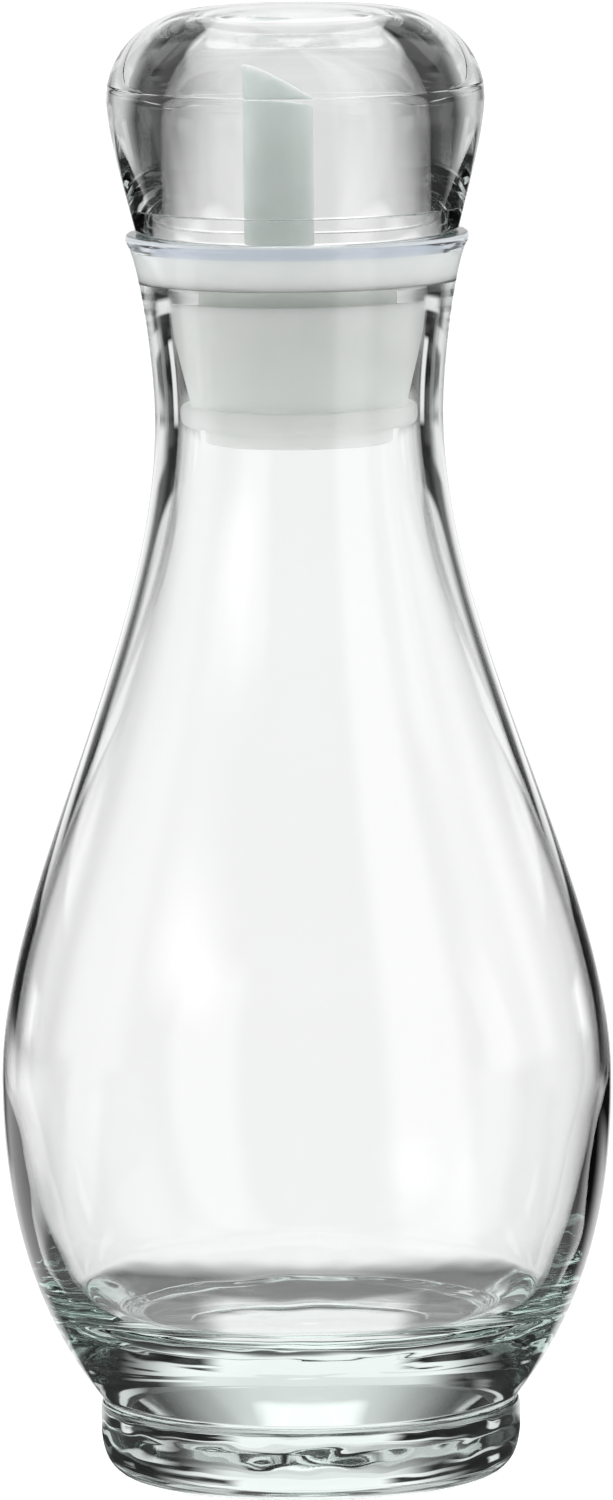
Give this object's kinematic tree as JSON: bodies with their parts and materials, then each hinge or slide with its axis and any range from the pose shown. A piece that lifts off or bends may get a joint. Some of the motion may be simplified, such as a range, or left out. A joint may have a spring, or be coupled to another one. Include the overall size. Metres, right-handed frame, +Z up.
{
  "type": "oil cruet",
  "caption": "Pear-shaped clear glass oil cruet on a round foot, with a white pourer in its flared mouth and a thick clear domed cap over the slanted spout.",
  "frame": {"origin": "centre of the foot's standing ring, on the surface that the cruet stands on", "axes": "+Z up the axis of the bottle, +X to the right and -Y towards the viewer of the picture"},
  "size_m": [0.09, 0.09, 0.2171],
  "materials": {
    "glass": "clear, fire-polished, faintly green in the thick foot",
    "white_plastic": "milky white, a little translucent, satin as moulded",
    "clear_plastic": "clear, thick-walled, polished as moulded"
  },
  "bodies": {
    "root": {"bottle": "glass", "pourer": "white_plastic", "cap": "clear_plastic"}
  },
  "joints": []
}
